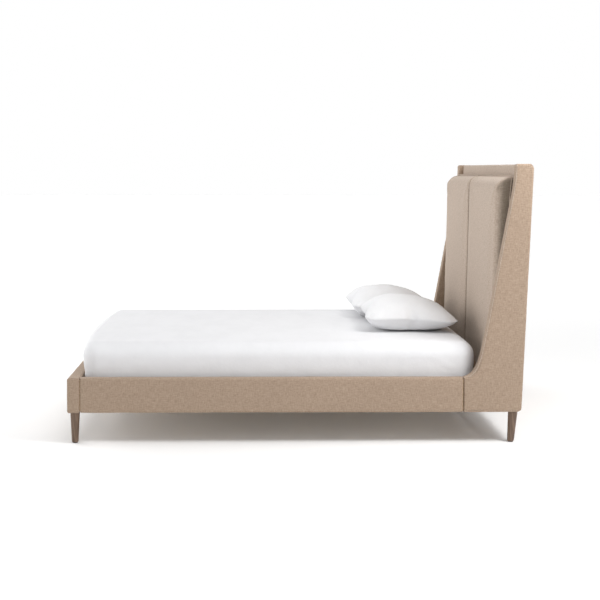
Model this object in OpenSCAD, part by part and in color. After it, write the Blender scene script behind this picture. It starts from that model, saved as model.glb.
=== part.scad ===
// Upholstered queen bed with a winged, cushioned headboard.
// Origin: on the floor, under the centre of the overall box.
// +X is the right side seen from the foot, +Y points to the headboard, +Z is up. Millimetres.

/* [Overall] */
// Width across the side rails
bed_w = 1700; // [1660:10:1760]
// Length from the footboard's face to the top of the headboard's back
bed_l = 2380; // [2340:10:2440]
// Height of the headboard
bed_h = 1432; // [1300:4:1500]
// Height of the frame's underside above the floor
leg_h = 158; // [130:2:180]

/* [Frame] */
// Height of the side rails and the footboard
rail_h = 178; // [160:2:200]
// Thickness of the side rails and the wings, cover included
panel_t = 60; // [52:2:66]
// Thickness of the footboard, cover included
foot_t = 64; // [56:2:72]
// Thickness of the padding and cover on every core
pad_t = 8; // [5:1:10]
// Radius of the padded edges
edge_r = 12; // [10:1:16]

/* [Headboard] */
// Backward lean of the headboard, in degrees
lean = 2.2; // [1:0.1:4]
// Thickness of the headboard between the wings
head_t = 64; // [60:1:80]
// Depth of a wing at its lower end
wing_depth = 302; // [280:2:330]
// Depth of a wing at its top
wing_top_depth = 92; // [84:2:110]
// How far back the wing's lower sweep reaches
sweep_y = 118; // [90:2:130]
// How high the wing's lower sweep reaches above the rail
sweep_z = 245; // [200:5:280]
// Drop from the top to the bend where a wing's front edge turns upright
bend_drop = 80; // [60:5:120]

/* [Headboard cushions] */
// Thickness of a headboard cushion at its top
cushion_t = 116; // [90:1:125]
// How much thinner a headboard cushion is at its lower end
cushion_taper = 22; // [0:1:30]
// Drop from the headboard's top to the top of the cushions
cushion_drop = 58; // [40:2:80]
// Height of the cushions' lower end above the floor
cushion_low = 300; // [280:5:340]
// Radius of the cushions' front edges, seen from the side
cushion_r = 58; // [40:2:60]
// Gap between the cushions, and between each one and its wing
cushion_gap = 4; // [2:1:8]

/* [Mattress and pillows] */
// Width of the mattress
mattress_w = 1524; // [1500:2:1530]
// Length of the mattress
mattress_l = 2032; // [2000:2:2040]
// Thickness of the mattress
mattress_t = 248; // [200:2:300]
// Plan radius of the mattress corners
mattress_r = 75; // [50:5:130]
// Thickness of the fitted sheet
sheet_t = 2; // [1:0.5:3]
// Gap between the footboard and the mattress
mattress_gap = 8; // [6:1:24]
// Width of a pillow, across the bed
pillow_w = 600; // [560:10:620]
// Depth of a pillow, along the bed
pillow_d = 510; // [440:10:520]
// Thickness of a pillow at its middle
pillow_t = 180; // [110:5:190]

/* [Mattress support] */
// Number of slats
slat_count = 12; // [10:1:12]
// Width of a slat
slat_w = 80; // [60:2:95]
// Thickness of a slat
slat_t = 20; // [14:1:24]
// Height of the slats' underside above the frame's underside
deck_rise = 82; // [80:2:90]
// Width of the centre beam
beam_w = 60; // [45:5:70]
// Height of the centre beam
beam_h = 70; // [60:5:75]
// How far the levelling feet can be screwed up
level_travel = 11; // [5:1:12]

/* [Legs] */
// Diameter at the top of a leg
leg_top_d = 49; // [44:1:52]
// Diameter at the foot of a leg
leg_foot_d = 34; // [28:1:38]
// Rake of the head legs, in degrees
head_rake = 3.8; // [0:0.2:5]

/* [Hidden] */
$fn = 48;
eps = 0.01;

// Main planes
half_w = bed_w / 2;
in_x = half_w - panel_t;
foot_y = -bed_l / 2;
head_y = bed_l / 2;
foot_in_y = foot_y + foot_t;
rail_top = leg_h + rail_h;
seam_y = round(back_y(leg_h)) - wing_depth;

// Headboard build-up, as distances forward of its back plane
cloth_t = 3;
stud_t = 36;
board_t = 9;
glue = 0.05;
stud_f0 = cloth_t + glue;
stud_f1 = stud_f0 + stud_t;
board_f0 = stud_f1 + glue;
board_f1 = board_f0 + board_t;
cover_f0 = board_f1 + glue;
cushion_board_f0 = head_t + glue;
post_w = 46;
top_rail_h = 60;
low_rail_h = 100;
noggin_z = 720;
stile_w = 60;

// Wing corners
wing_tip_r = 12;
wing_back_r = 14;
wing_heel_r = 22;

// Headboard cushion and its backing board
cushion_back_r = 14;
cushion_board_t = 12;
cushion_board_inset = 35;
casing_t = 12;

// Mattress, sheet and pillows
deck_z = leg_h + deck_rise;
deck_top = deck_z + slat_t;
mattress_y0 = foot_in_y + mattress_gap;
mattress_y1 = mattress_y0 + mattress_l;
bed_top = deck_top + mattress_t + sheet_t;
mattress_wall = 20;
pillow_lift = 0.3;
pillow_core = 0.92;
pillow_rim = 26;
pillow_rim_z = 34;
pillow_meet_x = -165;
right_pillow_y = 632;
left_pillow_y = 604;

// Mattress support
cross_y0 = mattress_y1 + 28;
cross_t = 28;
cross_y1 = cross_y0 + cross_t;
cross_low = leg_h + 2;
ledge_w = 30;
ledge_h = 40;
slat_end_gap = 2;
slat_y0 = foot_in_y + 12 + slat_w / 2;
slat_pitch = (mattress_y1 - slat_w / 2 - slat_y0) / (slat_count - 1);
strap_x = 400;
strap_w = 25;
strap_t = 1.5;

// Hardware
bolt_r = 4;
bolt_head_r = 7;
bolt_head_h = 4;
bolt_z = leg_h + 22;
plate_t = 4;
plate_h = 36;
bracket_leg = 60;
bracket_bolts = [22, 46];
cross_bolt_in = 20;
joining_l = 200;
joining_bolts = [-82, -30, 30, 82];
wing_bolt_zs = [420, 860, 1300];
screw_r = 2.5;
screw_head_r = 5;
screw_head_h = 3;
screw_l = 48;
ledge_screws_n = 8;
ledge_screw_y0 = foot_in_y + 80;
ledge_screw_y1 = cross_y0 - 50;
hanger_t = 3;
hanger_l = 40;
hanger_flange = 24;
hanger_screw_x = beam_w / 2 + 12;
hanger_screw_z = leg_h + 50;
hanger_screw_in = 22;

// Legs
glide_h = 3;
glide_d = 24;
leg_chamfer = 4;
leg_x = half_w - panel_t / 2;
foot_leg_y = foot_y + 38;
head_leg_y = seam_y + 261;
leg_plate_t = 3;
leg_plate = 40;
leg_top_z = leg_h + pad_t - leg_plate_t;
leg_hole_r = leg_top_d / 2 + 0.5;
hanger_bolt_up = 34;
hanger_bolt_down = 42;

// Centre supports
support_w = 45;
support_y = [-470, 300];
support_low = 20;
level_disc_r = 20;
level_disc_h = support_low - level_travel - 1;
level_stem_r = 5;
level_clear = 0.05;
level_stem_top = 70;

// Colours
fabric_c = "#b59c84";
frame_wood_c = "#c9a878";
leg_wood_c = "#6d5a4b";
steel_c = "#3b3d40";
bolt_c = "#9a9da1";
white_c = "#f2f2f0";
black_c = "#262626";

// ---------- helpers ----------

// Back face of the headboard at height z
function back_y(z) = head_y - (bed_h - z) * tan(lean);

// Point that lies f forward of the headboard's back face, at height z
function leaned(f, z) = [back_y(z) - f, z];

// Points on an arc about c, from angle a0 to a1
function arc(c, r, a0, a1, n = 8) =
    [for (i = [0 : n]) c + r * [cos(a0 + (a1 - a0) * i / n), sin(a0 + (a1 - a0) * i / n)]];

// Points on a quadratic and on a cubic Bezier curve
function curve3(p, n) = [for (i = [0 : n]) let (t = i / n, u = 1 - t)
    u * u * p[0] + 2 * u * t * p[1] + t * t * p[2]];
function curve4(p, n) = [for (i = [0 : n]) let (t = i / n, u = 1 - t)
    u * u * u * p[0] + 3 * u * u * t * p[1] + 3 * u * t * t * p[2] + t * t * t * p[3]];

function reversed(list) = [for (i = [len(list) - 1 : -1 : 0]) list[i]];

// Outline of a rectangle from low to high with round corners
function round_rect(low, high, r, n = 6) = concat(
    arc([high.x - r, low.y + r], r, -90, 0, n),
    arc([high.x - r, high.y - r], r, 0, 90, n),
    arc([low.x + r, high.y - r], r, 90, 180, n),
    arc([low.x + r, low.y + r], r, 180, 270, n));

// Box between two corners
module block(low, high) {
    translate(low) cube(high - low);
}

// Extrudes an outline drawn in Y and Z from x0 to x1
module along_x(x0, x1) {
    translate([x0, 0, 0]) rotate([90, 0, 90]) linear_extrude(x1 - x0) children();
}

// Extrudes an outline drawn in X and Z from y0 to y1
module along_y(y0, y1) {
    translate([0, y1, 0]) rotate([90, 0, 0]) linear_extrude(y1 - y0) children();
}

// Cylinder of length l along +X or along +Y from its start
module rod_x(start, r, l) {
    translate(start) rotate([0, 90, 0]) cylinder(h = l, r = r);
}
module rod_y(start, r, l) {
    translate(start) rotate([-90, 0, 0]) cylinder(h = l, r = r);
}

// Draws the right-hand part as it is, or mirrored for the left
module on_side(right) {
    if (right) children();
    else mirror([1, 0, 0]) children();
}
module on_both_sides() {
    on_side(true) children();
    on_side(false) children();
}

// Part of the leaning headboard between two depths f, two heights and two x
module head_slab(f0, f1, z0, z1, x0, x1) {
    along_x(x0, x1) polygon([leaned(f1, z0), leaned(f0, z0), leaned(f0, z1), leaned(f1, z1)]);
}

// ---------- holes and fasteners, right-hand side ----------

// Places a child, which points along +X, at each bolt of the rail's inner face
module at_rail_bolts() {
    for (y = bracket_bolts) translate([in_x, foot_in_y + y, bolt_z]) children();
    for (y = [joining_bolts[0], joining_bolts[1]]) translate([in_x, seam_y + y, bolt_z]) children();
}

// The same for the bolts of the wing's inner face: the joining plate's, then the cross rail bracket's
module at_wing_bolts() {
    for (y = [joining_bolts[2], joining_bolts[3]]) translate([in_x, seam_y + y, bolt_z]) children();
    for (y = bracket_bolts) translate([in_x, cross_y1 + y, bolt_z]) children();
}

// Bolts of the corner brackets into the footboard, and into the cross rail, pointing along -Y
module at_foot_bolts() {
    on_both_sides() for (x = bracket_bolts) translate([in_x - x, foot_in_y, bolt_z]) rotate([0, 0, -90])
        children();
}
module at_cross_bolts() {
    on_both_sides() for (x = bracket_bolts) translate([in_x - x, cross_y1, bolt_z]) rotate([0, 0, -90])
        children();
}

// Bolt along +X, its head on the near side of a plate and its shank reaching the given depth
module plate_bolt(depth = pad_t + 24) {
    rod_x([-plate_t, 0, 0], bolt_r, plate_t + depth);
    rod_x([-plate_t - bolt_head_h, 0, 0], bolt_head_r, bolt_head_h);
}

// Screw along +X through the slat ledge into a core, countersunk in the ledge
module ledge_screw() {
    rod_x([-ledge_w + screw_head_h, 0, 0], screw_r, screw_l - screw_head_h);
    rod_x([-ledge_w, 0, 0], screw_head_r, screw_head_h);
}
module at_ledge_screws() {
    pitch = (ledge_screw_y1 - ledge_screw_y0) / (ledge_screws_n - 1);
    for (i = [0 : ledge_screws_n - 1])
        translate([in_x, ledge_screw_y0 + i * pitch, deck_z - ledge_h / 2]) children();
}

// Bolts that hold the headboard's posts to the wings
module at_post_bolts() {
    for (z = wing_bolt_zs)
        translate([in_x - post_w, round(back_y(z) - stud_f0 - stud_t / 2), z]) children();
}
module post_bolt() {
    rod_x([0, 0, 0], bolt_r, post_w + pad_t + 30);
    rod_x([-bolt_head_h, 0, 0], bolt_head_r, bolt_head_h);
}

// ---------- headboard ----------

module head_post(right) {
    color(frame_wood_c) on_side(right) difference() {
        head_slab(stud_f0, stud_f1, leg_h + pad_t, bed_h - pad_t, in_x - post_w, in_x);
        at_post_bolts() post_bolt();
    }
}
module headboard_left_post() {
    head_post(false);
}
module headboard_right_post() {
    head_post(true);
}

module headboard_top_rail() {
    color(frame_wood_c)
        head_slab(stud_f0, stud_f1, bed_h - pad_t - top_rail_h, bed_h - pad_t, post_w - in_x, in_x - post_w);
}

module headboard_bottom_rail() {
    color(frame_wood_c)
        head_slab(stud_f0, stud_f1, leg_h + pad_t, leg_h + pad_t + low_rail_h, post_w - in_x, in_x - post_w);
}

module headboard_noggins() {
    color(frame_wood_c) on_both_sides()
        head_slab(stud_f0, stud_f1, noggin_z, noggin_z + top_rail_h, stile_w / 2, in_x - post_w);
}

module headboard_centre_stile() {
    color(frame_wood_c)
        head_slab(stud_f0, stud_f1, leg_h + pad_t + low_rail_h, bed_h - pad_t - top_rail_h,
            -stile_w / 2, stile_w / 2);
}

module headboard_front_board() {
    color(frame_wood_c)
        head_slab(board_f0, board_f1, leg_h + pad_t, bed_h - pad_t, -in_x, in_x);
}

// Padded cover over the front, wrapped over the top and under the bottom
module headboard_cover() {
    color(fabric_c) difference() {
        head_slab(stud_f0, head_t, leg_h, bed_h, -in_x, in_x);
        head_slab(0, cover_f0, leg_h + pad_t, bed_h - pad_t, -in_x - 1, in_x + 1);
    }
}

module headboard_back_cloth() {
    color(fabric_c) head_slab(0, cloth_t, leg_h, bed_h, -in_x, in_x);
}

// ---------- wings ----------

// Side outline of a wing, drawn in Y and Z and set in by the given amount
function wing_outline(inset) =
    let (
        tip_y = back_y(bed_h) - wing_top_depth,
        low_sweep = curve4([
            [seam_y, rail_top],
            [seam_y + 0.58 * sweep_y, rail_top + 10],
            [seam_y + 0.73 * sweep_y, rail_top + 0.30 * sweep_z],
            [seam_y + sweep_y, rail_top + sweep_z]], 14),
        bend = [tip_y, bed_h - bend_drop],
        run_in = bend + 0.125 * ([seam_y + sweep_y, rail_top + sweep_z] - bend),
        top_bend = curve3([run_in, bend, bend + [0, 0.7 * bend_drop]], 6),
        front = [for (p = concat(low_sweep, top_bend)) p + [inset, -inset]]
    )
    concat(
        [[seam_y + inset, leg_h + inset]],
        arc([back_y(leg_h) - wing_heel_r, leg_h + wing_heel_r], wing_heel_r - inset, -90, 0),
        arc([back_y(bed_h) - wing_back_r, bed_h - wing_back_r], wing_back_r - inset, 0, 90),
        arc([tip_y + wing_tip_r, bed_h - wing_tip_r], wing_tip_r - inset, 90, 180),
        reversed(front));

module wing_core(right) {
    color(frame_wood_c) on_side(right) difference() {
        along_x(in_x + pad_t, half_w - pad_t) polygon(wing_outline(pad_t));
        at_wing_bolts() plate_bolt();
        at_post_bolts() post_bolt();
        at_ledge_screws() ledge_screw();
        leg_socket(head_leg_y);
    }
}
module left_wing_core() {
    wing_core(false);
}
module right_wing_core() {
    wing_core(true);
}

module wing_cover(right) {
    color(fabric_c) on_side(right) difference() {
        along_x(in_x, half_w) polygon(wing_outline(0));
        along_x(in_x + pad_t, half_w - pad_t) polygon(wing_outline(pad_t));
        at_wing_bolts() plate_bolt();
        at_post_bolts() post_bolt();
        at_ledge_screws() ledge_screw();
        leg_socket(head_leg_y);
    }
}
module left_wing_cover() {
    wing_cover(false);
}
module right_wing_cover() {
    wing_cover(true);
}

// ---------- headboard cushions ----------

module cushion_board(right) {
    inset = cushion_board_inset;
    on_side(right)
        head_slab(cushion_board_f0, cushion_board_f0 + cushion_board_t, cushion_low + inset,
            bed_h - cushion_drop - inset,
            cushion_gap / 2 + inset, in_x - cushion_gap - inset);
}

// How much thinner a cushion is at height z than at its top
function cushion_thin(z) = cushion_taper * (bed_h - cushion_drop - z) / (bed_h - cushion_drop - cushion_low);

// Side outline of a cushion, from depth back to depth front, with round front edges
module cushion_outline(back, front, inset) {
    low = cushion_low + inset;
    top = bed_h - cushion_drop - inset;
    r = cushion_r - inset;
    outline = concat(
        arc([back + cushion_back_r, low + cushion_back_r], cushion_back_r, 180, 270),
        arc([front - r, low + r], r, -90, 0),
        arc([front - r, top - r], r, 0, 90),
        arc([back + cushion_back_r, top - cushion_back_r], cushion_back_r, 90, 180));
    polygon([for (p = outline) let (share = (p[0] - back) / (front - back))
        leaned(p[0] - share * cushion_thin(p[1]), p[1])]);
}

// Tall cushion: a padded casing round an empty core, let in at the back for its board
module head_cushion(right) {
    front = head_t + cushion_t;
    x0 = cushion_gap / 2;
    x1 = in_x - cushion_gap;
    color(fabric_c) difference() {
        on_side(right) along_x(x0, x1) cushion_outline(cushion_board_f0, front, 0);
        on_side(right) along_x(x0 + casing_t, x1 - casing_t)
            cushion_outline(cushion_board_f0 + cushion_board_t + casing_t, front - casing_t, casing_t);
        cushion_board(right);
    }
}
module left_headboard_cushion() {
    head_cushion(false);
}
module right_headboard_cushion() {
    head_cushion(true);
}

module cushion_boards() {
    color(frame_wood_c) {
        cushion_board(true);
        cushion_board(false);
    }
}

// ---------- side rails and footboard ----------

module rail_core(right) {
    color(frame_wood_c) on_side(right) difference() {
        block([in_x + pad_t, foot_in_y, leg_h + pad_t], [half_w - pad_t, seam_y, rail_top - pad_t]);
        at_rail_bolts() plate_bolt();
        at_ledge_screws() ledge_screw();
    }
}
module left_rail_core() {
    rail_core(false);
}
module right_rail_core() {
    rail_core(true);
}

module rail_cover(right) {
    color(fabric_c) on_side(right) difference() {
        along_y(foot_in_y, seam_y) polygon(round_rect([in_x, leg_h], [half_w, rail_top], edge_r));
        block([in_x + pad_t, foot_in_y - 1, leg_h + pad_t], [half_w - pad_t, seam_y + 1, rail_top - pad_t]);
        at_rail_bolts() plate_bolt();
        at_ledge_screws() ledge_screw();
    }
}
module left_rail_cover() {
    rail_cover(false);
}
module right_rail_cover() {
    rail_cover(true);
}

// Screws of a beam hanger, pointing along -Y into the footboard
module hanger_screws() {
    for (x = [-hanger_screw_x, hanger_screw_x]) translate([x, 0, hanger_screw_z]) {
        rod_y([0, -hanger_screw_in, 0], screw_r, hanger_screw_in + hanger_t);
        rod_y([0, hanger_t, 0], screw_head_r, screw_head_h);
    }
}

module footboard_core_blank() {
    block([pad_t - half_w, foot_y + pad_t, leg_h + pad_t],
        [half_w - pad_t, foot_in_y - pad_t, rail_top - pad_t]);
}

module footboard_core() {
    color(frame_wood_c) difference() {
        footboard_core_blank();
        at_foot_bolts() plate_bolt();
        on_both_sides() leg_socket(foot_leg_y);
        translate([0, foot_in_y, 0]) hanger_screws();
    }
}

module footboard_cover() {
    color(fabric_c) difference() {
        along_x(-half_w, half_w) polygon(round_rect([foot_y, leg_h], [foot_in_y, rail_top], edge_r));
        footboard_core_blank();
        at_foot_bolts() plate_bolt();
        on_both_sides() leg_socket(foot_leg_y);
        translate([0, foot_in_y, 0]) hanger_screws();
    }
}

// ---------- mattress support ----------

module slat_ledge(right) {
    color(frame_wood_c) on_side(right) difference() {
        block([in_x - ledge_w, foot_in_y, deck_z - ledge_h], [in_x, cross_y0, deck_z]);
        at_ledge_screws() ledge_screw();
    }
}
module left_slat_ledge() {
    slat_ledge(false);
}
module right_slat_ledge() {
    slat_ledge(true);
}

module head_cross_rail() {
    color(frame_wood_c) difference() {
        block([-in_x, cross_y0, cross_low], [in_x, cross_y1, deck_z]);
        at_cross_bolts() plate_bolt(cross_bolt_in);
        translate([0, cross_y0, 0]) mirror([0, 1, 0]) hanger_screws();
    }
}

module centre_beam() {
    color(frame_wood_c) block([-beam_w / 2, foot_in_y + hanger_t, deck_z - beam_h],
        [beam_w / 2, cross_y0 - hanger_t, deck_z]);
}

// Steel cradle that carries one end of the beam, its back plate at y = 0
module beam_hanger() {
    x = beam_w / 2;
    z = deck_z - beam_h;
    difference() {
        block([-x - hanger_flange, 0, z - hanger_t], [x + hanger_flange, hanger_t, deck_z - 2]);
        for (sx = [-hanger_screw_x, hanger_screw_x])
            rod_y([sx, -1, hanger_screw_z], screw_r, hanger_t + 2);
    }
    block([-x - hanger_t, hanger_t, z - hanger_t], [x + hanger_t, hanger_l, z]);
    for (s = [-1, 1]) translate([s * (x + hanger_t / 2), 0, 0])
        block([-hanger_t / 2, hanger_t, z], [hanger_t / 2, hanger_l, deck_z - 2]);
}

module beam_hangers() {
    color(steel_c) {
        translate([0, foot_in_y, 0]) beam_hanger();
        translate([0, cross_y0, 0]) mirror([0, 1, 0]) beam_hanger();
    }
}

module slat(i) {
    y = slat_y0 + i * slat_pitch;
    x = in_x - slat_end_gap;
    color(frame_wood_c) block([-x, y - slat_w / 2, deck_z], [x, y + slat_w / 2, deck_top]);
}

module slat_straps() {
    y1 = slat_y0 + (slat_count - 1) * slat_pitch + slat_w / 2;
    color(black_c) on_both_sides()
        block([strap_x - strap_w / 2, slat_y0 - slat_w / 2, deck_z - strap_t],
            [strap_x + strap_w / 2, y1, deck_z]);
}

// ---------- centre supports ----------

module support_leg(y) {
    w = support_w / 2;
    color(frame_wood_c) difference() {
        block([-w, y - w, support_low], [w, y + w, deck_z - beam_h]);
        translate([0, y, support_low - 1]) cylinder(h = level_stem_top + level_travel - support_low + 3,
            r = level_stem_r + level_clear);
    }
}
module foot_support_leg() {
    support_leg(support_y[0]);
}
module head_support_leg() {
    support_leg(support_y[1]);
}

module levelling_foot(y) {
    color(black_c) translate([0, y, 0]) {
        cylinder(h = level_disc_h, r = level_disc_r);
        cylinder(h = level_stem_top, r = level_stem_r);
    }
}
module foot_levelling_foot() {
    levelling_foot(support_y[0]);
}
module head_levelling_foot() {
    levelling_foot(support_y[1]);
}

// ---------- brackets and fasteners ----------

// L-shaped bracket in a corner: one flange on the plane x = 0, one on y = 0
module corner_bracket() {
    difference() {
        union() {
            block([-plate_t, 0, 0], [0, bracket_leg, plate_h]);
            block([-bracket_leg, 0, 0], [-plate_t, plate_t, plate_h]);
        }
        for (d = bracket_bolts) {
            rod_x([-plate_t - 1, d, plate_h / 2], bolt_r, plate_t + 2);
            rod_y([-d, -1, plate_h / 2], bolt_r, plate_t + 2);
        }
    }
}

module corner_brackets() {
    color(steel_c) on_both_sides() {
        translate([in_x, foot_in_y, bolt_z - plate_h / 2]) corner_bracket();
        translate([in_x, cross_y1, bolt_z - plate_h / 2]) corner_bracket();
    }
}

module joining_plates() {
    color(steel_c) on_both_sides() difference() {
        block([in_x - plate_t, seam_y - joining_l / 2, bolt_z - plate_h / 2],
            [in_x, seam_y + joining_l / 2, bolt_z + plate_h / 2]);
        for (y = joining_bolts) rod_x([in_x - plate_t - 1, seam_y + y, bolt_z], bolt_r, plate_t + 2);
    }
}

module bed_bolts() {
    color(bolt_c) {
        on_both_sides() {
            at_rail_bolts() plate_bolt();
            at_wing_bolts() plate_bolt();
        }
        at_foot_bolts() plate_bolt();
        at_cross_bolts() plate_bolt(cross_bolt_in);
    }
}

module wing_bolts() {
    color(bolt_c) on_both_sides() at_post_bolts() post_bolt();
}

module wood_screws() {
    color(bolt_c) {
        on_both_sides() at_ledge_screws() ledge_screw();
        translate([0, foot_in_y, 0]) hanger_screws();
        translate([0, cross_y0, 0]) mirror([0, 1, 0]) hanger_screws();
    }
}

// ---------- legs ----------

// Room for a right-hand leg's top, its plate and its hanger bolt, at the given y
module leg_socket(y) {
    translate([leg_x, y, leg_h - 1]) cylinder(h = leg_top_z - leg_h + 1 + eps, r = leg_hole_r);
    translate([leg_x, y, leg_top_z]) leg_plate_blank();
    translate([leg_x, y, leg_top_z]) cylinder(h = leg_plate_t + hanger_bolt_up, r = bolt_r);
}

module leg_plate_blank() {
    block([-leg_plate / 2, -leg_plate / 2, 0], [leg_plate / 2, leg_plate / 2, leg_plate_t]);
}

// How far a raked leg's foot stands forward of its top
function foot_shift(rake) = (leg_top_z - glide_h) * tan(rake);

// Turned, tapered leg, cut level at the glide and at its plate, chamfered at the floor
module leg(right, y, rake) {
    reach = 20;
    toe_d = leg_foot_d - 2 * leg_chamfer;
    grow = (leg_top_d - leg_foot_d) / (leg_top_z - glide_h);
    color(leg_wood_c) on_side(right) difference() {
        intersection() {
            translate([leg_x, y, leg_top_z]) rotate([-rake, 0, 0]) translate([0, 0, -leg_top_z - reach])
                cylinder(h = leg_top_z + 2 * reach, d1 = leg_foot_d - grow * reach,
                    d2 = leg_top_d + grow * reach, $fn = 64);
            block([leg_x - 60, y - 60, glide_h], [leg_x + 60, y + 60, leg_top_z]);
            translate([leg_x, y - foot_shift(rake), glide_h])
                cylinder(h = leg_top_z, d1 = toe_d, d2 = toe_d + 2 * leg_top_z, $fn = 64);
        }
        translate([leg_x, y, leg_top_z - hanger_bolt_down]) cylinder(h = hanger_bolt_down + 1, r = bolt_r);
    }
}
module foot_left_leg() {
    leg(false, foot_leg_y, 0);
}
module foot_right_leg() {
    leg(true, foot_leg_y, 0);
}
module head_left_leg() {
    leg(false, head_leg_y, head_rake);
}
module head_right_leg() {
    leg(true, head_leg_y, head_rake);
}

module leg_plates() {
    color(steel_c) on_both_sides() for (y = [foot_leg_y, head_leg_y]) translate([leg_x, y, leg_top_z])
        difference() {
            leg_plate_blank();
            translate([0, 0, -1]) cylinder(h = leg_plate_t + 2, r = bolt_r);
        }
}

module leg_hanger_bolts() {
    color(bolt_c) on_both_sides() for (y = [foot_leg_y, head_leg_y])
        translate([leg_x, y, leg_top_z - hanger_bolt_down])
            cylinder(h = hanger_bolt_down + leg_plate_t + hanger_bolt_up, r = bolt_r);
}

module leg_glides() {
    color(black_c) on_both_sides() {
        translate([leg_x, foot_leg_y, 0]) cylinder(h = glide_h, d = glide_d);
        translate([leg_x, head_leg_y - foot_shift(head_rake), 0]) cylinder(h = glide_h, d = glide_d);
    }
}

// ---------- mattress, sheet and pillows ----------

module mattress_plan(grow) {
    x = mattress_w / 2 + grow;
    polygon(round_rect([-x, mattress_y0 - grow], [x, mattress_y1 + grow], mattress_r + grow, 10));
}

// Mattress: a closed casing round an empty core
module mattress() {
    color(white_c) difference() {
        translate([0, 0, deck_top]) linear_extrude(mattress_t) mattress_plan(0);
        translate([0, 0, deck_top + mattress_wall]) linear_extrude(mattress_t - 2 * mattress_wall)
            mattress_plan(-mattress_wall);
    }
}

module fitted_sheet() {
    color(white_c) difference() {
        translate([0, 0, deck_top]) linear_extrude(mattress_t + sheet_t) mattress_plan(sheet_t);
        translate([0, 0, deck_top - 1]) linear_extrude(mattress_t + 1) mattress_plan(0);
    }
}

// Pillow lying flat, thick at its middle and thin at its rim
module pillow_form() {
    x = pillow_w / 2 - pillow_rim;
    y = pillow_d / 2 - pillow_rim;
    hull() {
        for (sx = [-1, 1], sy = [-1, 1])
            translate([sx * x, sy * y, pillow_rim_z]) cylinder(h = pillow_rim, r = pillow_rim, $fn = 16);
        scale([1, pillow_d / pillow_w, 1]) cylinder(h = pillow_t, r = pillow_w / 4, $fn = 32);
    }
}

// The same form with an empty core
module pillow(x, y) {
    color(white_c) translate([x, y, bed_top + pillow_lift]) difference() {
        pillow_form();
        translate([0, 0, (1 - pillow_core) * pillow_t / 2]) scale(pillow_core) pillow_form();
    }
}
module right_pillow() {
    pillow(pillow_meet_x + pillow_w / 2 + 2, right_pillow_y);
}
module left_pillow() {
    pillow(pillow_meet_x - pillow_w / 2 - 2, left_pillow_y);
}

// ---------- nodes ----------

headboard_left_post();
headboard_right_post();
headboard_top_rail();
headboard_bottom_rail();
headboard_noggins();
headboard_centre_stile();
headboard_front_board();
headboard_cover();
headboard_back_cloth();
left_wing_core();
right_wing_core();
left_wing_cover();
right_wing_cover();
left_headboard_cushion();
right_headboard_cushion();
cushion_boards();
left_rail_core();
right_rail_core();
left_rail_cover();
right_rail_cover();
footboard_core();
footboard_cover();
left_slat_ledge();
right_slat_ledge();
head_cross_rail();
centre_beam();
beam_hangers();
corner_brackets();
joining_plates();
bed_bolts();
wing_bolts();
wood_screws();
foot_left_leg();
foot_right_leg();
head_left_leg();
head_right_leg();
leg_plates();
leg_hanger_bolts();
leg_glides();
foot_support_leg();
head_support_leg();
foot_levelling_foot();
head_levelling_foot();
slat(0);  // slat_1
slat(1);  // slat_2
slat(2);  // slat_3
slat(3);  // slat_4
slat(4);  // slat_5
slat(5);  // slat_6
slat(6);  // slat_7
slat(7);  // slat_8
slat(8);  // slat_9
slat(9);  // slat_10
slat(10);  // slat_11
slat(11);  // slat_12
slat_straps();
mattress();
fitted_sheet();
left_pillow();
right_pillow();
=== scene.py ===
import math

import bmesh
import bpy
import numpy as np
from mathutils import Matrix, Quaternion, Vector, noise


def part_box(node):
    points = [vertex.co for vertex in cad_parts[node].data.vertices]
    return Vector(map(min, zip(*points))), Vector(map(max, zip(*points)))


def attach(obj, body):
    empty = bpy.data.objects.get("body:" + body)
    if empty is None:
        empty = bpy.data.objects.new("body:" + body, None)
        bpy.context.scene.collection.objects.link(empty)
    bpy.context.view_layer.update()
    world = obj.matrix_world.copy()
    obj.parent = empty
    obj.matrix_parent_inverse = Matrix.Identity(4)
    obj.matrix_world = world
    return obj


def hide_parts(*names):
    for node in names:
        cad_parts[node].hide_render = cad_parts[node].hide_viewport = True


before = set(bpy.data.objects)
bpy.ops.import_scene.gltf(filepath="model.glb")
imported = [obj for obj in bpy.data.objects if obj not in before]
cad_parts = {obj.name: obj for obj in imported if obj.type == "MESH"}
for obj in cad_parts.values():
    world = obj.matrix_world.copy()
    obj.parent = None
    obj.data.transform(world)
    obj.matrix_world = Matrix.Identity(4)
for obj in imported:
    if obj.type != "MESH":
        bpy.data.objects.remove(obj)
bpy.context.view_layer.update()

FRAME_BODY = "bed_frame"
MATTRESS_BODY = "mattress_and_sheet"

# Upholstery
EDGE_R = 0.011           # radius of the padded edges
JOINT_R = 0.006          # radius where two covered panels meet
JOINT_GAP = 0.0026       # each panel stops this short of the joint
CROWN = 0.0025           # how far the padding swells in the middle of a face
WELT_R = 0.0023          # radius of a sewn edge's welt
WELT_INSET = 0.0035      # how far a wing's welts lie in from its outline
WING_CORNER_R = 0.016    # radius of a wing's upper back corner
HEAD_T = 0.064           # thickness of the headboard between the wings
HEAD_BACK_R = 0.012      # radius of its rear edges
HEAD_DROP = 0.0015       # how much lower its top is than the wings'
CLOTH_T = 0.003          # thickness of its back cloth
CLOTH_MARGIN = 0.013     # how far inside its outline the back cloth ends
CUSHION_R = 0.068        # radius of a headboard cushion's front edges
CUSHION_SEAM_R = 0.021   # the same where the two cushions meet
CUSHION_REAR_R = 0.014   # radius of its rear edges
CUSHION_CORNER_R = 0.03  # radius of its corners, seen from the front
CUSHION_TOP = 1.15       # how much rounder a cushion is along its top
CUSHION_TAPER = 0.022    # how much thinner a cushion is at its lower end
CUSHION_SLACK = 0.003    # room left for it to swell inside its packed size

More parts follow.
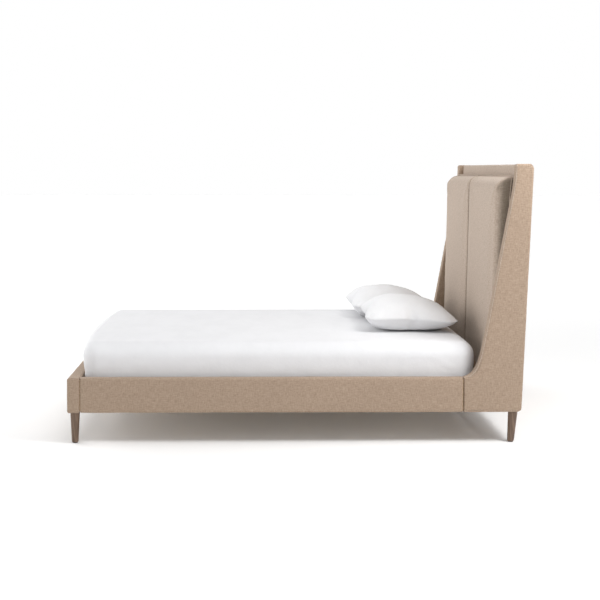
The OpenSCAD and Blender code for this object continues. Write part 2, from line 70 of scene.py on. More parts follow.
# Bedding
SHEET_T = 0.0016
SHEET_GAP = 0.0005       # room between the mattress and the sheet
SHEET_TUCK = 0.055       # width of the sheet's hem under the mattress
MATTRESS_MARGIN = 0.001  # how far the mattress stays inside its packed size
MATTRESS_EDGE_R = 0.075
MATTRESS_UNDER_R = 0.03  # radius of its lower edges
MATTRESS_CORNER_R = 0.08
MATTRESS_FOOT = 0.7      # how much tighter its edge is at the foot end
MATTRESS_CROWN = 0.002   # how far the top swells in its middle
CROWN_REACH = 0.16       # how far from the edges it has mostly risen
FOOT_BOW = 0.042         # how far its foot end bows out above the footboard
HEAD_BOW = 0.009         # how far its head end bows out
BOW_REACH = 0.5          # how far from an end the bow starts
BOW_RISE = 0.07          # how far above the rails the bow is full
PILLOW_SEAM_Z = 0.072    # height of a pillow's seam above the bed
PILLOW_TIP_LIFT = 0.010  # how much higher the seam lies at the foot side than in the middle
PILLOW_SHIFT = 0.012     # how far a pillow lies towards the head from its solid's middle
PILLOW_FOLDS = 0.42      # how much of the blown-up cloth's folds shows on the smooth form

# Slat straps
STRAP_WIDE = 0.025
STRAP_T = 0.0012
SLATS = [f"slat_{k + 1}" for k in range(12)]

# Studio: the sky near the horizon and overhead, the floor's glow near and far, and the lights' strengths
HORIZON = 1.0
OVERHEAD = 0.3
SKY_FADE = (0.15, 0.35)  # how far up the sky starts and stops fading, from 0 level to 1 straight up
FLOOR_HALF = 60.0
FLOOR_GLOW = (0.03, 0.33)
GLOW_REACH = (1.6, 7.0)  # where the floor is at its dimmest and at its brightest
KEY = 1.2
HEAD_SIDE = 58
FRONT = 195
SIDE = 30

# Camera: place, and how far it turns, tips and rolls, in degrees
CAMERA_AT = (6.891, -0.277, 1.399)
CAMERA_TURNS = (-1.15, -2.79, -0.11)


# ---------- materials ----------

class Shader:
    """Makes one node material, a node at a time."""

    def __init__(self, name, sockets):
        self.material = bpy.data.materials.new(name)
        self.material.use_nodes = True
        self.tree = self.material.node_tree
        self.surface = self.tree.nodes["Principled BSDF"]
        for socket, value in sockets.items():
            self.surface.inputs[socket].default_value = value

    def node(self, kind, inputs=(), **settings):
        made = self.tree.nodes.new(kind)
        for key, value in settings.items():
            setattr(made, key, value)
        for index, value in dict(inputs).items():
            self.put(made.inputs[index], value)
        return made

    def put(self, socket, value):
        if isinstance(value, bpy.types.NodeSocket):
            self.tree.links.new(value, socket)
        else:
            socket.default_value = value

    def math(self, operation, *values):
        return self.node("ShaderNodeMath", enumerate(values), operation=operation).outputs[0]

    def times(self, value, factor):
        return self.math("MULTIPLY", value, factor)

    def add(self, a, b):
        return self.math("ADD", a, b)

    def vector(self, x, y, z=0.0):
        return self.node("ShaderNodeCombineXYZ", {0: x, 1: y, 2: z}).outputs[0]

    def place(self):
        """The place on the piece, in metres, as three numbers."""
        coords = self.node("ShaderNodeTexCoord").outputs["Object"]
        return self.node("ShaderNodeSeparateXYZ", {0: coords}).outputs

    def spot(self, *stretch):
        """The same place as a vector, with each number multiplied by its own factor."""
        return self.vector(*(self.times(c, k) for c, k in zip(self.place(), stretch or (1, 1, 1))))

    def facing(self):
        """How much the surface faces along X, Y and Z, each from 0 to 1."""
        normal = self.node("ShaderNodeNewGeometry").outputs["Normal"]
        flat = self.node("ShaderNodeVectorMath", {0: normal}, operation="ABSOLUTE").outputs[0]
        return self.node("ShaderNodeSeparateXYZ", {0: flat}).outputs

    def darkened(self, colour, factor, *stops):
        return self.mix(1.0, colour, self.colours(factor, *stops), "MULTIPLY")

    def noise(self, vector, scale=1.0, detail=2.0, roughness=0.5):
        made = self.node("ShaderNodeTexNoise", {"Vector": vector, "Scale": scale, "Detail": detail,
                                                "Roughness": roughness})
        return made.outputs["Fac"]

    def colours(self, factor, *stops):
        """A colour from a factor, between (position, colour) stops."""
        ramp = self.node("ShaderNodeValToRGB", {0: factor})
        elements = ramp.color_ramp.elements
        while len(elements) < len(stops):
            elements.new(0.5)
        for element, (position, colour) in zip(elements, stops):
            element.position = position
            element.color = (*colour, 1)
        return ramp.outputs[0]

    def mix(self, factor, a, b, blend="MIX"):
        made = self.node("ShaderNodeMix", {0: factor, 6: a, 7: b}, data_type="RGBA", blend_type=blend)
        return made.outputs[2]

    def range(self, value, low, high):
        """A factor from 0 to 1 turned into one from low to high."""
        return self.node("ShaderNodeMapRange", {0: value, 3: low, 4: high}).outputs[0]

    def bump(self, height, depth, strength=1.0, over=None):
        made = self.node("ShaderNodeBump", {"Height": height, "Distance": depth, "Strength": strength})
        if over is not None:
            self.put(made.inputs["Normal"], over)
        return made.outputs[0]

    def finish(self, colour, roughness=None, normal=None):
        self.put(self.surface.inputs["Base Color"], colour)
        if roughness is not None:
            self.put(self.surface.inputs["Roughness"], roughness)
        if normal is not None:
            self.put(self.surface.inputs["Normal"], normal)
        return self.material


def surface_plane(s):
    """Two coordinates that run along the cloth: the axes that its surface faces least."""
    x, y, z = s.place()
    nx, ny, nz = s.facing()
    faces_x = s.math("GREATER_THAN", nx, s.math("MAXIMUM", ny, nz))
    faces_z = s.math("GREATER_THAN", nz, s.math("MAXIMUM", nx, ny))
    u = s.add(x, s.math("MULTIPLY", faces_x, s.math("SUBTRACT", y, x)))
    v = s.add(z, s.math("MULTIPLY", faces_z, s.math("SUBTRACT", y, z)))
    return u, v


def plain_weave(s, u, v, pitch):
    """Height of a plain weave, from -1 to 1: warp and weft threads that pass over each other in turn."""
    turn = 2 * math.pi / pitch
    return s.math("MULTIPLY", s.math("SINE", s.times(u, turn)), s.math("SINE", s.times(v, turn)))


def slubs(s, u, v, along, across):
    """Noise drawn out along the weft and along the warp, as uneven yarn shows in woven cloth."""
    weft = s.noise(s.vector(s.times(u, along), s.times(v, across)), detail=1.0)
    warp = s.noise(s.vector(s.times(u, across), s.times(v, along)), detail=1.0)
    return s.times(s.add(weft, warp), 0.5)


def upholstery(name, dark, mid, light, sides=1.0):
    """Heathered, woven upholstery: mixed yarns, slubs, a soft sheen and slightly uneven dye. Painted shade:
    cloth that faces along X is darker by the factor sides, for the shade in the narrow gaps beside a cushion."""
    s = Shader(name, {"Roughness": 0.88, "Sheen Weight": 0.12, "Sheen Roughness": 0.45,
                      "Sheen Tint": (1, 0.95, 0.9, 1), "Specular IOR Level": 0.25})
    u, v = surface_plane(s)
    weave = plain_weave(s, u, v, 0.0022)
    yarn = slubs(s, u, v, 34, 260)
    heather = s.noise(s.vector(s.times(u, 120), s.times(v, 120)), detail=4.0, roughness=0.7)
    mixed = s.add(s.times(yarn, 0.6), s.times(heather, 0.4))
    cloth = s.colours(mixed, (0.38, dark), (0.5, mid), (0.62, light))
    dye = s.noise(s.spot(), scale=2.3)
    cloth = s.darkened(cloth, dye, (0.3, (0.95, 0.95, 0.95)), (0.7, (1, 1, 1)))
    # painted shade: cloth facing along X is darkened towards the factor sides and made a touch warmer,
    # standing in for the shade between a cushion and its wing and in the groove between the two cushions
    if sides < 1:
        cloth = s.darkened(cloth, s.facing()[0], (0.5, (1, 1, 1)), (0.92, (sides, sides, 0.94 * sides)))
    gaps = s.colours(s.range(weave, 0, 1), (0.0, (0.86, 0.85, 0.84)), (0.5, (1, 1, 1)))
    cloth = s.mix(0.5, cloth, gaps, "MULTIPLY")
    height = s.add(s.times(weave, 0.3), s.times(yarn, 1.6))
    rough = s.range(heather, 0.8, 0.95)
    return s.finish(cloth, rough, s.bump(height, 0.0005, 0.55))


def cotton(name, colour, pitch, crease):
    """Fine white cotton with a faint weave and soft creases."""
    s = Shader(name, {"Roughness": 0.9, "Sheen Weight": 0.08, "Sheen Roughness": 0.5,
                      "Specular IOR Level": 0.2})
    u, v = surface_plane(s)
    weave = plain_weave(s, u, v, pitch)
    folds = s.noise(s.spot(4, 9, 9), detail=4.0, roughness=0.6)
    # painted shade: the cotton is 3.5 per cent darker where the fold noise dips, the same noise that bumps
    # the folds
    shade = tuple(0.965 * c for c in colour)
    tone = s.colours(folds, (0.3, shade), (0.6, colour))
    threads = slubs(s, u, v, 90, 900)
    tone = s.darkened(tone, threads, (0.3, (0.985, 0.985, 0.99)), (0.7, (1, 1, 1)))
    rumpled = s.noise(s.spot(16, 30, 30), detail=3.0, roughness=0.55)
    ridges = s.math("ABSOLUTE", s.math("SUBTRACT", rumpled, 0.5))
    soft = s.bump(ridges, crease, 0.5, over=s.bump(folds, crease, 0.5))
    return s.finish(tone, s.range(folds, 0.85, 0.95), s.bump(weave, 0.00012, 0.4, over=soft))


def ticking(name):
    """Knitted mattress cover, quilted in a diamond pattern."""
    s = Shader(name, {"Roughness": 0.85, "Sheen Weight": 0.15})
    u, v = surface_plane(s)
    turn = 2 * math.pi / 0.16
    slant = s.math("SINE", s.times(s.add(u, v), turn))
    back_slant = s.math("SINE", s.times(s.math("SUBTRACT", u, v), turn))
    quilt = s.math("MINIMUM", s.math("ABSOLUTE", slant), s.math("ABSOLUTE", back_slant))
    pillows = s.math("POWER", quilt, 0.4)
    knit = plain_weave(s, u, v, 0.0018)
    tone = s.colours(pillows, (0.0, (0.62, 0.62, 0.61)), (0.35, (0.8, 0.8, 0.79)))
    soft = s.bump(pillows, 0.004, 0.8)
    return s.finish(tone, s.range(pillows, 0.9, 0.82), s.bump(knit, 0.0002, 0.5, over=soft))


def wood(name, along, dark, light, rough=0.5, rings=38.0, streak=7.0):
    """Wood whose grain runs along one axis, 0 for X, 1 for Y or 2 for Z, with rings, pores and soft wear."""
    s = Shader(name, {"Specular IOR Level": 0.4})
    across = list(s.place())
    across[along] = s.times(across[along], 0.06)
    bent = s.noise(s.vector(*across), scale=6.0, detail=2.0)
    spread = s.add(s.add(across[0], s.times(across[1], 0.9)), s.times(across[2], 1.1))
    wave = s.math("SINE", s.add(s.times(spread, 2 * math.pi * rings), s.times(bent, 14.0)))
    growth = s.range(wave, 0.35, 0.65)
    fine = list(across)
    fine[along] = s.times(fine[along], 0.25)
    pores = s.noise(s.vector(*fine), scale=900.0 / streak, detail=4.0, roughness=0.7)
    grain = s.add(s.times(growth, 0.45), s.times(pores, 0.55))
    tone = s.colours(grain, (0.32, dark), (0.62, light))
    handled = s.noise(s.spot(), scale=9.0, detail=3.0)
    tone = s.darkened(tone, handled, (0.3, (0.88, 0.88, 0.88)), (0.7, (1, 1, 1)))
    roughness = s.range(pores, rough - 0.08, rough + 0.14)
    return s.finish(tone, roughness, s.bump(grain, 0.0004, 0.35))


def plywood(name):
    """Sanded plywood: a mild face grain, with its glued layers showing on the edges."""
    s = Shader(name, {"Specular IOR Level": 0.35})
    _, y, z = s.place()
    face = s.noise(s.spot(5, 60, 60), detail=4.0, roughness=0.6)
    layers = s.math("SINE", s.times(s.add(y, z), 2 * math.pi / 0.0032))
    grain = s.add(s.times(face, 0.85), s.times(layers, 0.05))
    tone = s.colours(grain, (0.3, (0.5, 0.36, 0.22)), (0.62, (0.72, 0.56, 0.38)))
    return s.finish(tone, s.range(face, 0.55, 0.75), s.bump(grain, 0.0003, 0.3))


def metal(name, colour, worn, metallic, rough):
    """Plated or painted steel with fine scratches and dull, handled patches."""
    s = Shader(name, {"Metallic": metallic})
    brushed = s.noise(s.spot(60, 60, 900))
    patches = s.noise(s.spot(), scale=30.0, detail=4.0, roughness=0.6)
    wear = s.add(s.times(brushed, 0.4), s.times(patches, 0.6))
    tone = s.colours(wear, (0.35, colour), (0.75, worn))
    return s.finish(tone, s.range(patches, rough - 0.1, rough + 0.15), s.bump(brushed, 0.0002, 0.25))


def moulded(name, colour, grain_size):
    """Moulded plastic or pressed felt with a fine, even grain."""
    s = Shader(name, {"Specular IOR Level": 0.4})
    grain = s.noise(s.spot(), scale=1 / grain_size)
    bright = tuple(1.5 * c for c in colour)
    tone = s.colours(grain, (0.35, colour), (0.7, bright))
    return s.finish(tone, s.range(grain, 0.5, 0.7), s.bump(grain, 0.0003, 0.4))


def webbing(name):
    """Black woven strap, ribbed across its length."""
    s = Shader(name, {"Roughness": 0.75, "Sheen Weight": 0.2})
    x, y, _ = s.place()
    rib = s.math("SINE", s.times(y, 2 * math.pi / 0.0026))
    thread = s.math("SINE", s.times(x, 2 * math.pi / 0.0016))
    weave = s.math("MULTIPLY", rib, thread)
    tone = s.colours(s.range(weave, 0, 1), (0.0, (0.012, 0.012, 0.012)), (1.0, (0.05, 0.05, 0.05)))
    return s.finish(tone, s.range(weave, 0.7, 0.85), s.bump(weave, 0.0004, 0.7))


FABRIC = upholstery("upholstery", (0.305, 0.222, 0.161), (0.382, 0.285, 0.211), (0.448, 0.342, 0.258))
# painted light: the same cloth as FABRIC in tones about 1.23 times lighter and a touch greyer, standing in
# for the stronger light that falls on the headboard, its cushions and the welts sewn with it
PAINTED_LIT_TONES = ((0.385, 0.304, 0.242), (0.470, 0.379, 0.307), (0.545, 0.445, 0.367))
# painted shade: sides=0.42 darkens the cushions' X-facing sides
CUSHION_FABRIC = upholstery("upholstery_cushion_painted_light_and_shade", *PAINTED_LIT_TONES, sides=0.42)
STRIP_FABRIC = upholstery("upholstery_headboard_painted_lit", *PAINTED_LIT_TONES)
THREAD = moulded("sewing_thread", (0.33, 0.24, 0.17), 0.0006)
SHEET_COTTON = cotton("sheet_cotton", (0.77, 0.77, 0.782), 0.0011, 0.003)
PILLOW_COTTON = cotton("pillow_cotton", (0.79, 0.79, 0.798), 0.0011, 0.007)
TICKING = ticking("ticking")
WEBBING = webbing("webbing")
PINE = ((0.40, 0.25, 0.125), (0.66, 0.48, 0.30))
TIMBER = [wood(f"frame_timber_{axis}", i, *PINE) for i, axis in enumerate("xyz")]
PLYWOOD = plywood("plywood")
LEG_WOOD = wood("leg_wood", 2, (0.083, 0.051, 0.033), (0.212, 0.140, 0.096),
                rough=0.42, rings=60.0, streak=5.0)
BLACK_STEEL = metal("black_steel", (0.022, 0.022, 0.024), (0.05, 0.05, 0.052), 0.3, 0.45)
ZINC = metal("zinc_steel", (0.48, 0.48, 0.47), (0.72, 0.72, 0.7), 1.0, 0.35)
FELT = moulded("felt", (0.035, 0.032, 0.029), 0.0009)
PLASTIC = moulded("black_plastic", (0.02, 0.02, 0.02), 0.0007)


# ---------- materials of the carried-over parts ----------

def cad_material(node):
    """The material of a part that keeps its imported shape, by the way its wood or metal lies."""
    if node.endswith("_leg") and "support" not in node:
        return LEG_WOOD
    if node.endswith(("_bolts", "_screws")):
        return ZINC
    if node.endswith(("hangers", "brackets", "joining_plates", "leg_plates")):
        return BLACK_STEEL
    if node == "leg_glides":
        return FELT
    if node.endswith("levelling_foot"):
        return PLASTIC
    if node.endswith(("board", "boards", "wing_core")) or node.startswith("slat_"):
        return PLYWOOD
    if node.endswith(("post", "stile", "support_leg")):
        return TIMBER[2]
    if node.endswith(("rail_core", "ledge", "beam")):
        return TIMBER[1]
    return TIMBER[0]


for node_name, cad_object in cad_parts.items():
    cad_object.data.materials.clear()
    cad_object.data.materials.append(cad_material(node_name))


# ---------- mesh helpers ----------

def added(name, data):
    """A new object in the scene."""
    made = bpy.data.objects.new(name, data)
    bpy.context.scene.collection.objects.link(made)
    return made


def piece(name, points, faces, material, body=FRAME_BODY):
    """Makes an object of a piece, riding on a body."""
    mesh = bpy.data.meshes.new(name)
    mesh.from_pydata([tuple(p) for p in points], [], [tuple(int(i) for i in f) for f in faces])
    tidy = bmesh.new()
    tidy.from_mesh(mesh)
    bmesh.ops.recalc_face_normals(tidy, faces=tidy.faces)
    tidy.to_mesh(mesh)
    tidy.free()
    mesh.polygons.foreach_set("use_smooth", [True] * len(mesh.polygons))
    mesh.materials.append(material)
    made = added(name, mesh)
    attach(made, body)
    return made


def points_of(obj, what="co"):
    values = np.zeros(3 * len(obj.data.vertices))
    obj.data.vertices.foreach_get(what, values)
    return values.reshape(-1, 3)


def normals_of(obj):
    return points_of(obj, "normal")


def set_points(obj, points):
    obj.data.vertices.foreach_set("co", np.asarray(points, np.float32).ravel())
    obj.data.update()


def push(obj, amount):
    """Moves each point along its normal by what amount gives for all the points."""
    points = points_of(obj)
    set_points(obj, points + normals_of(obj) * amount(points)[:, None])


def ripple(points, size, seed=0.0):
    """Smooth noise from -1 to 1 at each point, with features of the given sizes along X, Y and Z."""
    spread = points / np.asarray(size) + seed
    return np.array([noise.noise(Vector(p)) for p in spread])


def resampled(points, count):
    """An open line with count + 1 evenly spaced points."""
    points = np.asarray(points, float)
    run = np.concatenate([[0], np.cumsum(np.linalg.norm(np.diff(points, axis=0), axis=1))])
    even = np.linspace(0, run[-1], count + 1)
    return np.stack([np.interp(even, run, points[:, k]) for k in range(points.shape[1])], 1)


def grid_faces(rows, wide, start=0):
    """Faces of a grid of points that are numbered row by row."""
    corners = [start + i * wide + j for i in range(rows) for j in range(wide - 1)]
    return [(a, a + 1, a + wide + 1, a + wide) for a in corners]


def band_faces(a, b):
    """Faces between two closed rings of point numbers."""
    return list(zip(a, np.roll(a, -1), np.roll(b, -1), b))


def shell_faces(faces, rim, count):
    """One skin's faces, the same ones on a second skin, and a band along both rims that closes the shell."""
    return faces + [tuple(i + count for i in f[::-1]) for f in faces] + band_faces(rim, rim + count)


def grid_rim(up, over):
    """The numbers of a grid's edge points: up the front, over the top, down the back and along the bottom."""
    wide = over + 1
    numbers = [i * wide for i in range(up + 1)] + [up * wide + j for j in range(1, wide)]
    numbers += [i * wide + over for i in range(up - 1, -1, -1)] + list(range(over - 1, 0, -1))
    return np.array(numbers)


class Outline:
    """A closed outline in four chains: front and back go up, bottom and top go from front to back."""

    def __init__(self, front, top, back, bottom, tightness=None):
        self.front, self.top, self.back, self.bottom = front, top, back, bottom
        self.up, self.over = len(front) - 1, len(top) - 1
        self.loop = np.concatenate([front, top[1:], back[::-1][1:], bottom[::-1][1:-1]])
        self.tightness = np.ones(len(self.loop)) if tightness is None else tightness

    def ease(self, reach):
        """Evens the tightness out along the loop."""
        rolled = [np.roll(self.tightness, k) for k in range(-reach, reach + 1)]
        self.tightness = sum(rolled) / len(rolled)

    def moved_in(self, inset):
        """The loop moved inwards, mitred at its corners, and less where it is tight."""
        before = self.loop - np.roll(self.loop, 1, 0)
        after = np.roll(self.loop, -1, 0) - self.loop
        sides = [v / np.linalg.norm(v, axis=1)[:, None] for v in (before, after)]
        outward = sum(np.stack([-v[:, 1], v[:, 0]], 1) for v in sides)
        mitre = 2 / np.maximum((outward ** 2).sum(1), 1)
        return self.loop - outward * (inset * self.tightness * mitre)[:, None]

    def filled(self, loop):
        """A grid of points that fills the loop."""
        up, over = self.up, self.over
        front, top = loop[:up + 1], loop[up:up + over + 1]
        back = loop[up + over:2 * up + over + 1][::-1]
        bottom = np.concatenate([loop[2 * up + over:], loop[:1]])[::-1]
        u = np.linspace(0, 1, over + 1)[None, :, None]
        v = np.linspace(0, 1, up + 1)[:, None, None]
        ruled = (1 - u) * front[:, None] + u * back[:, None] + (1 - v) * bottom[None] + v * top[None]
        corners = ((1 - u) * (1 - v) * bottom[0] + u * (1 - v) * bottom[-1]
                   + (1 - u) * v * top[0] + u * v * top[-1])
        return ruled - corners

    def rim(self):
        """The grid's own numbers for its edge, in the loop's order."""
        return grid_rim(self.up, self.over)


def swell(grid, reach, power=1):
    """A factor from 0 at the grid's edges to 1 in its middle; a power of 2 makes it rise gently at first."""
    edges = (grid[:, :1], grid[:, -1:], grid[:1], grid[-1:])
    factor = np.ones(grid.shape[:2])
    for edge in edges:
        factor = factor * (1 - np.exp(-np.linalg.norm(grid - edge, axis=2) / reach))
    return factor ** power


def shallow(profile, depth, depth_factor):
    """The profile's depth at each point of the loop: an edge's radius shrinks by the point's own factor."""
    near, radius = profile[0][1], profile[0][0]
    towards = 1 if profile[-1][1] > near else -1
    down = abs(depth - near)
    full = abs(profile[-1][1] - near)
    inner = radius * depth_factor
    stretched = inner + (down - radius) * (full - inner) / (full - radius)
    return near + towards * np.where(down <= radius, down * depth_factor, stretched)


def solid(outline, profile, place, crowns=(0, 0), reach=0.06, depth_factor=None, power=1):
    """Points and faces of a closed form. The profile is a list of (inset, depth) from one filled face to the
    other, crowns say how far each face swells outwards, and place turns (p, q, depth) into (x, y, z)."""
    loops = [outline.moved_in(inset) for inset, _ in profile]
    wide = outline.over + 1
    count = (outline.up + 1) * wide
    outward = np.sign(profile[0][1] - profile[-1][1])
    points, caps = [], []
    for loop, depth, crown in ((loops[0], profile[0][1], outward * crowns[0]),
                               (loops[-1], profile[-1][1], -outward * crowns[1])):
        grid = outline.filled(loop)
        depths = depth + crown * swell(grid, reach, power)
        caps.append(len(points) * count)
        points.append(place(grid[..., 0].ravel(), grid[..., 1].ravel(), depths.ravel()))
    rings = [outline.rim()]
    start = 2 * count
    size = len(outline.loop)
    for loop, (_, depth) in zip(loops[1:-1], profile[1:-1]):
        depths = np.full(size, depth) if depth_factor is None else shallow(profile, depth, depth_factor)
        points.append(place(loop[:, 0], loop[:, 1], depths))
        rings.append(np.arange(start, start + size))
        start += size
    rings.append(outline.rim() + count)
    faces = [face for base in caps for face in grid_faces(outline.up, wide, base)]
    for a, b in zip(rings[:-1], rings[1:]):
        faces += band_faces(a, b)
    return np.concatenate(points), faces


def rounded(depth, radius, towards, steps=6):
    """Profile steps round an edge, from the face at that depth to the side; towards is 1 or -1."""
    turns = [math.pi / 2 * k / steps for k in range(steps + 1)]
    return [(radius * (1 - math.sin(a)), depth + towards * radius * (1 - math.cos(a))) for a in turns]


def slab_profile(near, far, near_r, far_r, steps=6, sides=4):
    """Profile of a slab with round edges, from the face at depth near to the one at depth far."""
    towards = 1 if far > near else -1
    start = rounded(near, near_r, towards, steps)
    end = rounded(far, far_r, -towards, steps)[::-1]
    flat = np.linspace(start[-1][1], end[0][1], sides + 1)[1:-1]
    return start + [(0.0, float(d)) for d in flat] + end


def rectangle(low, high, up, over, corner=0.0, tight=(), tight_factor=1.0):
    """Outline of a rectangle with round corners; tight names the chains whose edges have a smaller radius."""
    (p0, q0), (p1, q1) = low, high
    turns = np.linspace(0, math.pi / 4, 6)
    bend = [(corner * (1 - math.cos(a)), corner * (1 - math.sin(a))) for a in turns]
    bend = bend[::-1] if corner else [(0.0, 0.0)]
    left = [(p0 + o, q0 + i) for o, i in bend]
    right = [(p1 - o, q0 + i) for o, i in bend]
    front = resampled(left + [(p, q0 + q1 - q) for p, q in left[::-1]], up)
    back = resampled(right + [(p, q0 + q1 - q) for p, q in right[::-1]], up)
    low_line = [(p0 + i, q0 + o) for o, i in bend]
    bottom = resampled(low_line + [(p0 + p1 - p, q) for p, q in low_line[::-1]], over)
    top = bottom * (1, -1) + (0, q0 + q1)
    lengths = {"front": up + 1, "top": over - 1, "back": up + 1, "bottom": over - 1}
    tightness = [np.full(n, tight_factor if name in tight else 1.0) for name, n in lengths.items()]
    return Outline(front, top, back, bottom, np.concatenate(tightness))


def tube(points, radius, sides=8, closed=False):
    """Points and faces of a round welt along a line."""
    points = np.asarray(points, float)
    ahead = np.roll(points, -1, 0) - points
    behind = points - np.roll(points, 1, 0)
    if not closed:
        ahead[-1], behind[0] = behind[-1], ahead[0]
    along = ahead + behind
    along /= np.linalg.norm(along, axis=1)[:, None]
    steady = np.array([0.31, 0.17, 0.93]) if abs(along[:, 2]).mean() < 0.6 else np.array([1.0, 0.1, 0.05])
    first = np.cross(along, steady)
    first /= np.linalg.norm(first, axis=1)[:, None]
    second = np.cross(along, first)
    turns = [2 * math.pi * k / sides for k in range(sides)]
    rings = np.stack([points + radius * (math.cos(a) * first + math.sin(a) * second) for a in turns], 1)
    count = len(points)
    faces = []
    for i in range(count if closed else count - 1):
        a, b = i * sides, ((i + 1) % count) * sides
        faces += [(a + k, a + (k + 1) % sides, b + (k + 1) % sides, b + k) for k in range(sides)]
    if not closed:
        faces += [tuple(range(sides)), tuple(range((count - 1) * sides, count * sides))]
    return rings.reshape(-1, 3), faces


def joined(parts):
    """Several (points, faces) as one."""
    points, faces, start = [], [], 0
    for some, their in parts:
        points.append(some)
        faces += [tuple(i + start for i in f) for f in their]
        start += len(some)
    return np.concatenate(points), faces


def stitches(line, outward, length=0.0045, gap=0.0025, radius=0.00055):
    """A row of stitches lying on a line, each a short bead that dips into the cloth at its ends."""
    line = np.asarray(line, float)
    run = np.linalg.norm(np.diff(line, axis=0), axis=1).sum()
    count = int(run / (length + gap))
    even = resampled(line, count * 7)
    outward = np.asarray(outward, float)
    beads = []
    for k in range(count):
        path = even[7 * k:7 * k + 5]
        lift = np.array([-0.7, 0.4, 0.6, 0.4, -0.7])[:, None] * radius * outward
        beads.append(tube(path + lift, radius, sides=5))
    return joined(beads)


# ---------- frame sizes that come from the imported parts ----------

BACK_LOW, BACK_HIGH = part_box("headboard_back_cloth")
LEG_H, BED_H = BACK_LOW.z, BACK_HIGH.z
IN_X = BACK_HIGH.x
RAIL_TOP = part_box("right_rail_cover")[1].z
LEAN = (BACK_HIGH.y - BACK_LOW.y - CLOTH_T) / (BED_H - LEG_H)


def back_y(z):
    """The headboard's back face at height z."""
    return BACK_HIGH.y - (BED_H - z) * LEAN


def soft_cover(points):
    """Slight unevenness of cloth pulled over padding."""
    return 0.0007 * ripple(points, (0.11, 0.11, 0.11)) + 0.0006 * ripple(points, (0.035, 0.05, 0.035), 3.1)


def sideways(p, q, d):
    """The point at y = p and height q that lies at x = d."""
    return np.stack([d, p, q], 1)


def cover(name, node, points, faces, material):
    """A padded cover in place of a packed one."""
    made = piece(name, points, faces, material)
    push(made, soft_cover)
    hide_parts(node)


# ---------- side rails and footboard ----------

def side_rail(side):
    low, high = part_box(f"{side}_rail_cover")
    outline = rectangle((low.y + JOINT_GAP, low.z), (high.y - JOINT_GAP, high.z), 22, 210,
                        tight=("front", "back"), tight_factor=JOINT_R / EDGE_R)
    profile = slab_profile(high.x, low.x, EDGE_R, EDGE_R)
    points, faces = solid(outline, profile, sideways, (CROWN, CROWN), 0.03)
    cover(f"{side}_rail_upholstery", f"{side}_rail_cover", points, faces, FABRIC)


def footboard():
    low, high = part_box("footboard_cover")
    outline = rectangle((low.x, low.z), (high.x, high.z), 22, 180)
    profile = slab_profile(low.y, high.y, EDGE_R, JOINT_R + 0.002)
    points, faces = solid(outline, profile, lambda p, q, d: np.stack([p, d, q], 1), (CROWN, 0), 0.03)
    cover("footboard_upholstery", "footboard_cover", points, faces, FABRIC)


# ---------- wings ----------

def wing_line(node):
    """A wing's side outline, as its packed cover has it, in order round a point inside its lower part."""
    points = points_of(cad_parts[node])
    outer = points[np.abs(np.abs(points[:, 0]) - np.abs(points[:, 0]).max()) < 1e-5][:, 1:]
    outer = np.unique(outer.round(5), axis=0)
    heart = np.array([outer[:, 0].min() + 0.8 * np.ptp(outer[:, 0]), RAIL_TOP + 0.012])
    turn = np.arctan2(outer[:, 1] - heart[1], outer[:, 0] - heart[0])
    start = np.arctan2(LEG_H - heart[1], outer[:, 0].min() - heart[0])
    return outer[np.argsort(-((turn - start - 1e-6) % (2 * math.pi)))]


def wing_outline(node, up=230, over=26):
    """The same outline in four chains. It runs from the lower front corner up the front edge."""
    line = wing_line(node)
    first = np.argmin(np.abs(line - (line[:, 0].min(), LEG_H)).sum(1))
    line = np.roll(line, -first, 0)
    tip_y = line[line[:, 1] > BED_H - 0.001][:, 0].min() - 0.008
    targets = [(tip_y, BED_H), (BACK_HIGH.y, BED_H), (back_y(LEG_H), LEG_H)]
    a, b, c = [int(np.argmin(np.linalg.norm(line - t, axis=1))) for t in targets]
    closed = np.concatenate([line, line[:1]])
    front = resampled(closed[:a + 1], up)
    top = resampled(closed[a:b + 1], over)
    back = resampled(closed[b:c + 1], up)[::-1]
    bottom = resampled(closed[c:], over)[::-1]
    front[:, 0] += np.where(front[:, 1] < RAIL_TOP - 0.001, JOINT_GAP, 0)
    round_corner(top[::-1], back[::-1], WING_CORNER_R)
    tightness = np.ones(2 * (up + over))
    tightness[:up + 1] = np.where(front[:, 1] < RAIL_TOP + 0.001, JOINT_R / EDGE_R, 0.75)
    tightness[0] = 0.6
    return Outline(front, top, back, bottom, tightness)


def round_corner(first, second, radius):
    """Rounds the corner where two chains of points meet; each chain starts there."""
    corner = first[0].copy()
    ways = [(chain[4] - corner) / np.linalg.norm(chain[4] - corner) for chain in (first, second)]
    centre = corner + radius * (ways[0] + ways[1])
    for chain, along, across in ((first, *ways), (second, *ways[::-1])):
        run = np.linalg.norm(chain - corner, axis=1)
        near = run < radius
        angle = math.pi / 4 * (1 - run[near] / radius)
        chain[near] = centre - radius * (np.sin(angle)[:, None] * along + np.cos(angle)[:, None] * across)


def wing(side):
    node = f"{side}_wing_cover"
    low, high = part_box(node)
    outline = wing_outline(node)
    profile = slab_profile(high.x, low.x, EDGE_R, EDGE_R, sides=6)
    points, faces = solid(outline, profile, sideways, (CROWN, CROWN), 0.035)
    cover(f"{side}_wing_upholstery", node, points, faces, FABRIC)
    front = outline.moved_in(WELT_INSET)[:outline.up + 1]
    front = front[front[:, 1] > RAIL_TOP + 0.002]
    welts = []
    for x in (low.x + WELT_INSET, high.x - WELT_INSET):
        welts.append(tube(np.column_stack([np.full(len(front), x), front]), WELT_R))
    points, faces = joined(welts)
    piece(f"{side}_wing_edge_welts", points, faces, STRIP_FABRIC)


# ---------- headboard between the wings ----------

def leaning(p, q, d):
    """The point at x = p and height q that lies d forward of the headboard's back face."""
    return np.stack([p, back_y(q) - d, q], 1)


